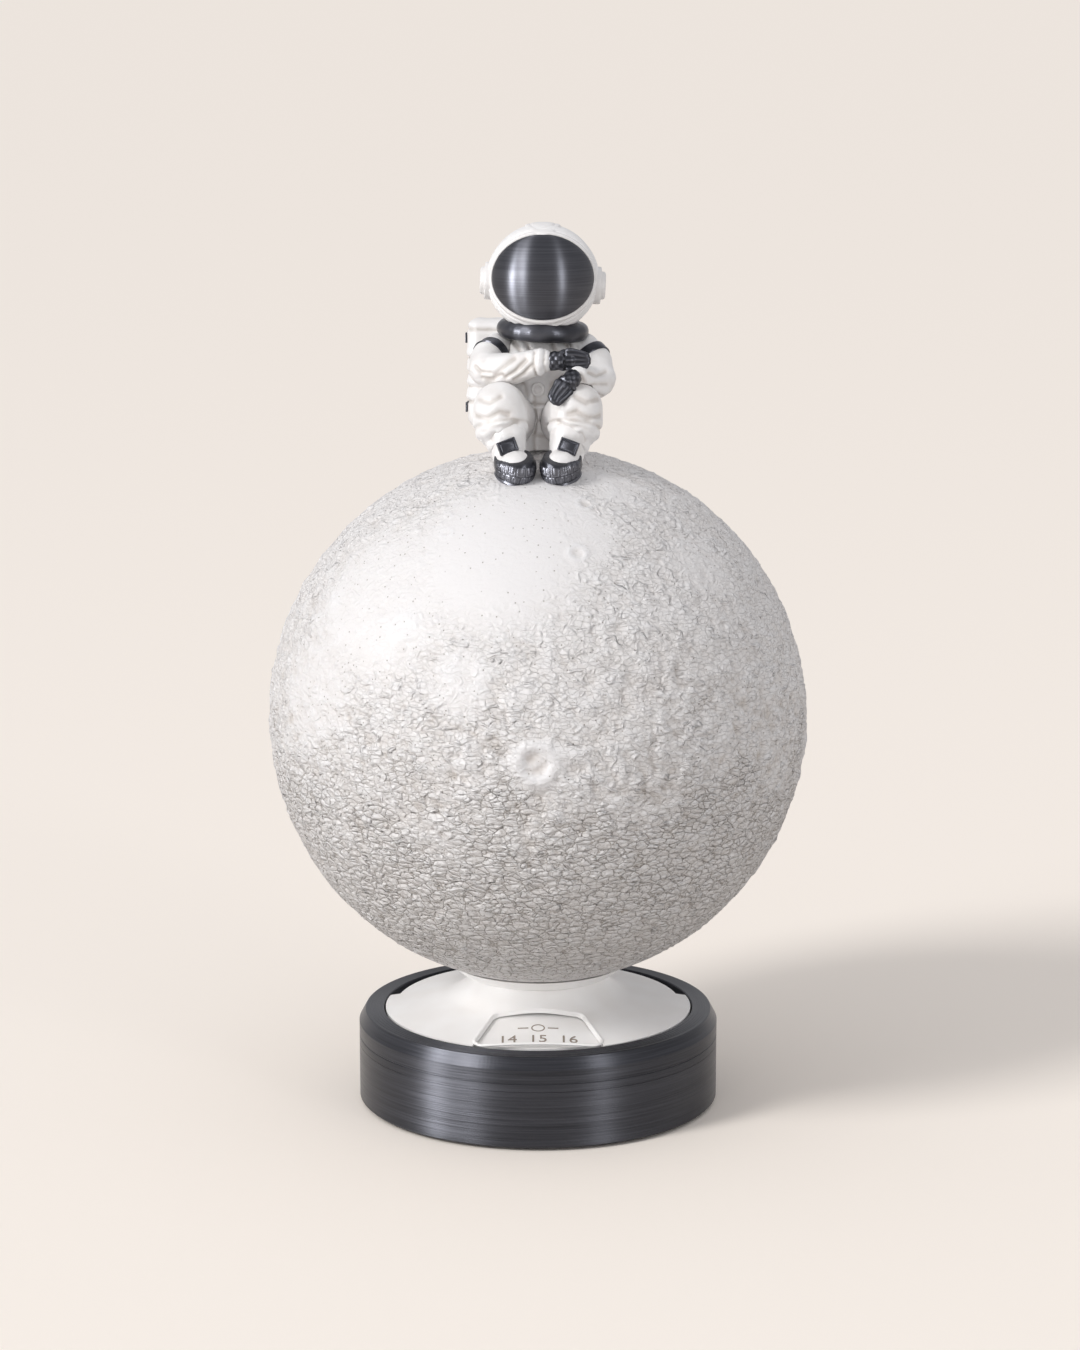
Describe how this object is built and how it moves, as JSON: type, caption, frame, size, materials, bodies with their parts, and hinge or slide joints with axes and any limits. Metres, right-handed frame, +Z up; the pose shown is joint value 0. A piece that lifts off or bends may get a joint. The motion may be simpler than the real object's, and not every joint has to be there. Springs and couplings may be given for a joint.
{
  "type": "moon lamp",
  "caption": "Moon-phase table lamp: hollow moon globe with a seated astronaut, on a white turntable with a label window in a dark round base.",
  "frame": {"origin": "on the table, under the middle of the base", "axes": "+Z up through the middle of base and moon, front (label window and figure) towards -Y, +X to the right seen from the front"},
  "size_m": [0.151, 0.151, 0.2476],
  "materials": {
    "dark_shell": "silk dark grey, fine horizontal layer lines",
    "dark_floor": "matt dark grey moulding",
    "steel": "plain zinc-plated steel",
    "foot_rubber": "soft black rubber",
    "white_plate": "smooth satin off-white",
    "washer_plastic": "waxy natural nylon",
    "column_metal": "plain drawn tube",
    "board_white": "white solder mask",
    "led_lens": "yellow phosphor lamps",
    "frosted_cover": "frosted white diffuser",
    "shade_black": "matt black light stop",
    "cell_wrap": "blue shrink wrap",
    "board_green": "green solder mask",
    "chip_black": "moulded epoxy",
    "coil_copper": "varnished copper coil",
    "lead_red": "red insulation",
    "button_grey": "soft grey button",
    "moon_print": "warm white printed relief",
    "suit_white": "satin ivory white",
    "figure_dark": "satin charcoal",
    "visor_dark": "silk black with soft vertical highlights"
  },
  "bodies": {
    "base": {"base_cup": "dark_shell", "bezel_ring": "dark_shell", "bottom_plate": "dark_floor", "bottom_screws": "steel", "rubber_feet": "foot_rubber", "deck_plate": "dark_floor", "deck_screws": "steel", "phase_dial": "white_plate", "dial_screws": "steel", "thrust_washer": "washer_plastic", "retaining_clip": "steel", "light_column": "column_metal", "column_cap": "dark_floor", "led_strip": "board_white", "led_chips": "led_lens", "led_cover": "frosted_cover", "phase_shade": "shade_black", "shade_brackets": "shade_black", "battery_tray": "dark_floor", "battery_cell": "cell_wrap", "control_board": "board_green", "board_pillars": "dark_floor", "board_screws": "steel", "driver_chip": "chip_black", "charging_coil": "coil_copper", "usb_socket": "steel", "tact_switch": "chip_black", "battery_lead": "lead_red", "column_lead": "lead_red"},
    "turntable": {"cover_plate": "white_plate", "moon_collar": "white_plate", "collar_screws": "steel"},
    "button": {"push_button": "button_grey", "switch_plunger": "washer_plastic"},
    "moon": {"moon_globe": "moon_print", "moon_cap": "moon_print", "moon_mouth_ring": "moon_print", "figure_peg": "steel", "helmet_shell": "suit_white", "visor_rim": "suit_white", "visor": "visor_dark", "helmet_pad": "suit_white", "ear_pods": "suit_white", "neck_ring": "figure_dark", "torso": "suit_white", "chest_button": "suit_white", "backpack": "suit_white", "backpack_straps": "figure_dark", "left_arm": "suit_white", "right_arm": "suit_white", "arm_bands": "figure_dark", "upper_glove": "figure_dark", "lower_glove": "figure_dark", "left_leg": "suit_white", "right_leg": "suit_white", "left_boot": "suit_white", "right_boot": "suit_white", "left_sole": "figure_dark", "right_sole": "figure_dark", "shin_plates": "figure_dark"}
  },
  "joints": [
    {"name": "phase_turn", "type": "hinge", "parent": "base", "child": "turntable", "pos_m": [0, 0, 0.0265], "axis": [0, 0, 1], "continuous": true},
    {"name": "moon_lift", "type": "slide", "parent": "turntable", "child": "moon", "axis": [0, 0, 1], "range_m": [0, 0.115]},
    {"name": "button_press", "type": "slide", "parent": "base", "child": "button", "axis": [-0.3746, -0.9272, 0], "range_m": [0, 0.0005], "stiffness_N_per_m": 400}
  ]
}
